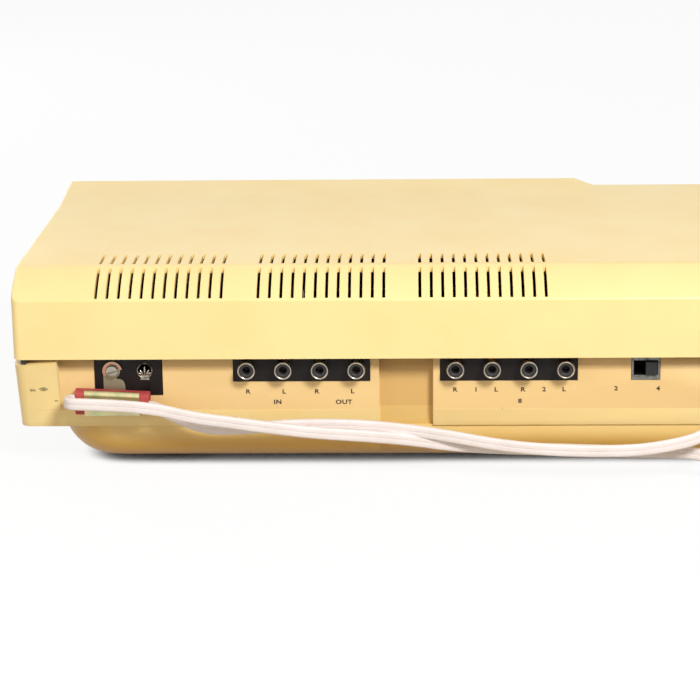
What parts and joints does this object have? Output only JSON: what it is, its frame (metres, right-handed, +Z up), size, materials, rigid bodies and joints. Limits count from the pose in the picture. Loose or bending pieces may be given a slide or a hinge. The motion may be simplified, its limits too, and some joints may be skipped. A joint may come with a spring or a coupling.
{
  "type": "8 track player",
  "caption": "Tabletop eight track tape player and tuner in a vented yellow housing, seen from its rear terminals, with a working deck, dial, door and controls.",
  "frame": {"origin": "on the table under the middle of the player, midway between its rearmost and foremost points", "axes": "+X from the volume side to the tuning side, to the right of someone facing the front; +Y to the rear; +Z up"},
  "size_m": [0.433, 0.33, 0.1],
  "materials": {
    "yellow_shell": "aged semi-gloss yellow ABS",
    "black_rubber": "matte black rubber",
    "zinc_steel": "zinc plated sheet steel",
    "black_board": "black phenolic board",
    "nickel": "nickel plated brass",
    "chromate_steel": "yellow chromate over zinc",
    "red_fibre": "red vulcanised fibre",
    "black_plastic": "satin black plastic",
    "clear_pane": "clear acrylic",
    "scale_paint": "dark painted scale",
    "pointer_red": "red pointer",
    "lamp_glass": "small lamps",
    "knob_plastic": "satin knob plastic",
    "brass_part": "turned brass",
    "ground_steel": "ground steel",
    "cast_metal": "cast and turned",
    "white_plastic": "white nylon",
    "circuit_board": "brown phenolic circuit board",
    "component_body": "sleeved capacitors and parts",
    "bare_aluminium": "bare aluminium",
    "core_iron": "varnished laminations",
    "cord_white": "white vinyl cord"
  },
  "bodies": {
    "chassis": {"top_shell": "yellow_shell", "base_tray": "yellow_shell", "rubber_feet": "black_rubber", "gap_bumpers": "black_rubber", "case_screws": "zinc_steel", "main_chassis": "zinc_steel", "antenna_board": "black_board", "antenna_screws": "nickel", "coupler_sleeve": "chromate_steel", "coupler_liner": "red_fibre", "jack_boards": "black_board", "phono_jacks": "nickel", "speaker_switch_plate": "zinc_steel", "speaker_switch_body": "black_board", "front_bezel": "black_plastic", "dial_window": "clear_pane", "dial_scale_plate": "scale_paint", "dial_lamps": "lamp_glass", "door_hinge_pin": "zinc_steel", "button_switches": "black_board", "program_lamps": "lamp_glass", "headphone_jack": "nickel", "control_pots": "zinc_steel", "cartridge_guide": "zinc_steel", "capstan_bearing": "brass_part", "drive_motor": "zinc_steel", "drive_belt": "black_rubber", "track_solenoid": "zinc_steel", "main_board": "circuit_board", "board_components": "component_body", "heat_sink": "bare_aluminium", "power_transformer": "core_iron", "tuning_gang": "bare_aluminium", "strain_relief": "white_plastic", "line_cord": "cord_white", "line_cord_coil": "cord_white", "line_cord_plug": "cord_white"},
    "door": {"cartridge_door": "black_plastic"},
    "tuning": {"tuning_knob": "knob_plastic", "tuning_shaft": "brass_part"},
    "pointer": {"dial_pointer": "pointer_red"},
    "rotor": {"gang_rotor": "bare_aluminium"},
    "volume": {"volume_knob": "knob_plastic"},
    "selector": {"selector_knob": "knob_plastic"},
    "bass": {"bass_knob": "knob_plastic"},
    "treble": {"treble_knob": "knob_plastic"},
    "balance": {"balance_knob": "knob_plastic"},
    "program_key": {"program_button": "knob_plastic"},
    "power_key": {"power_button": "knob_plastic"},
    "speaker_slider": {"speaker_switch_slider": "black_plastic"},
    "capstan": {"capstan_shaft": "ground_steel", "flywheel": "cast_metal"},
    "pulley": {"motor_pulley": "brass_part"},
    "cam": {"track_cam": "white_plastic"},
    "carriage": {"head_carriage": "zinc_steel", "tape_head": "ground_steel"},
    "plunger": {"solenoid_plunger": "ground_steel"},
    "latch_arm": {"cartridge_latch_arm": "zinc_steel"},
    "roller": {"cartridge_roller": "black_rubber"}
  },
  "joints": [
    {"name": "door_hinge", "type": "hinge", "parent": "chassis", "child": "door", "pos_m": [0.006, -0.08814, 0.05632], "axis": [1, 0, 0], "range_deg": [0, 112], "stiffness_Nm_per_rad": 0.01, "springref_deg": -28.65},
    {"name": "tuning_turn", "type": "hinge", "parent": "chassis", "child": "tuning", "pos_m": [0.15, -0.10175, 0.04186], "axis": [0, 0.9272, -0.3746], "range_deg": [-1273, 1273]},
    {"name": "pointer_slide", "type": "slide", "parent": "chassis", "child": "pointer", "axis": [1, 0, 0], "range_m": [-0.1, 0.1]},
    {"name": "rotor_turn", "type": "hinge", "parent": "chassis", "child": "rotor", "pos_m": [0.116, -0.05388, 0.05], "axis": [0, 1, 0], "range_deg": [-90, 90]},
    {"name": "volume_turn", "type": "hinge", "parent": "chassis", "child": "volume", "pos_m": [-0.134, -0.08939, 0.07246], "axis": [0, 0.9272, -0.3746], "range_deg": [-150, 150]},
    {"name": "selector_turn", "type": "hinge", "parent": "chassis", "child": "selector", "pos_m": [-0.15, -0.10175, 0.04186], "axis": [0, 0.9272, -0.3746], "range_deg": [-45, 45]},
    {"name": "bass_turn", "type": "hinge", "parent": "chassis", "child": "bass", "pos_m": [0.08, -0.10175, 0.04186], "axis": [0, 0.9272, -0.3746], "range_deg": [-150, 150]},
    {"name": "treble_turn", "type": "hinge", "parent": "chassis", "child": "treble", "pos_m": [0.1, -0.10175, 0.04186], "axis": [0, 0.9272, -0.3746], "range_deg": [-150, 150]},
    {"name": "balance_turn", "type": "hinge", "parent": "chassis", "child": "balance", "pos_m": [0.12, -0.10175, 0.04186], "axis": [0, 0.9272, -0.3746], "range_deg": [-150, 150]},
    {"name": "program_press", "type": "slide", "parent": "chassis", "child": "program_key", "axis": [0, 0.9272, -0.3746], "range_m": [0, 0.003], "stiffness_N_per_m": 300, "springref_m": -0.002},
    {"name": "power_press", "type": "slide", "parent": "chassis", "child": "power_key", "axis": [0, 0.9272, -0.3746], "range_m": [0, 0.003], "stiffness_N_per_m": 300, "springref_m": -0.002},
    {"name": "speaker_select", "type": "slide", "parent": "chassis", "child": "speaker_slider", "axis": [1, 0, 0], "range_m": [0, 0.005]},
    {"name": "capstan_spin", "type": "hinge", "parent": "chassis", "child": "capstan", "pos_m": [0.042, -0.00388, 0.0096], "axis": [0, 0, 1], "continuous": true},
    {"name": "pulley_spin", "type": "hinge", "parent": "chassis", "child": "pulley", "pos_m": [-0.052, 0.01812, 0.0096], "axis": [0, 0, 1], "continuous": true},
    {"name": "cam_turn", "type": "hinge", "parent": "chassis", "child": "cam", "pos_m": [-0.022, 0.00612, 0.0248], "axis": [0, 0, 1], "range_deg": [0, 270]},
    {"name": "carriage_lift", "type": "slide", "parent": "chassis", "child": "carriage", "axis": [0, 0, 1], "range_m": [0, 0.0021]},
    {"name": "plunger_pull", "type": "slide", "parent": "chassis", "child": "plunger", "axis": [0, 1, 0], "range_m": [0, 0.004], "stiffness_N_per_m": 200, "springref_m": -0.002},
    {"name": "latch_swing", "type": "hinge", "parent": "chassis", "child": "latch_arm", "pos_m": [-0.06, -0.06988, 0.0248], "axis": [0, 0, 1], "range_deg": [0, 8], "stiffness_Nm_per_rad": 0.5, "springref_deg": -5.73},
    {"name": "roller_spin", "type": "hinge", "parent": "latch_arm", "child": "roller", "pos_m": [-0.0498, -0.04688, 0.0282], "axis": [0, 0, 1], "continuous": true}
  ],
  "couplings": [
    {"joint": "pointer_slide", "follows": "tuning_turn", "m_per_rad": 0.0045008},
    {"joint": "rotor_turn", "follows": "tuning_turn", "ratio": 0.070699},
    {"joint": "pulley_spin", "follows": "capstan_spin", "ratio": 7.2},
    {"joint": "cam_turn", "follows": "carriage_lift", "rad_per_m": 2244}
  ]
}
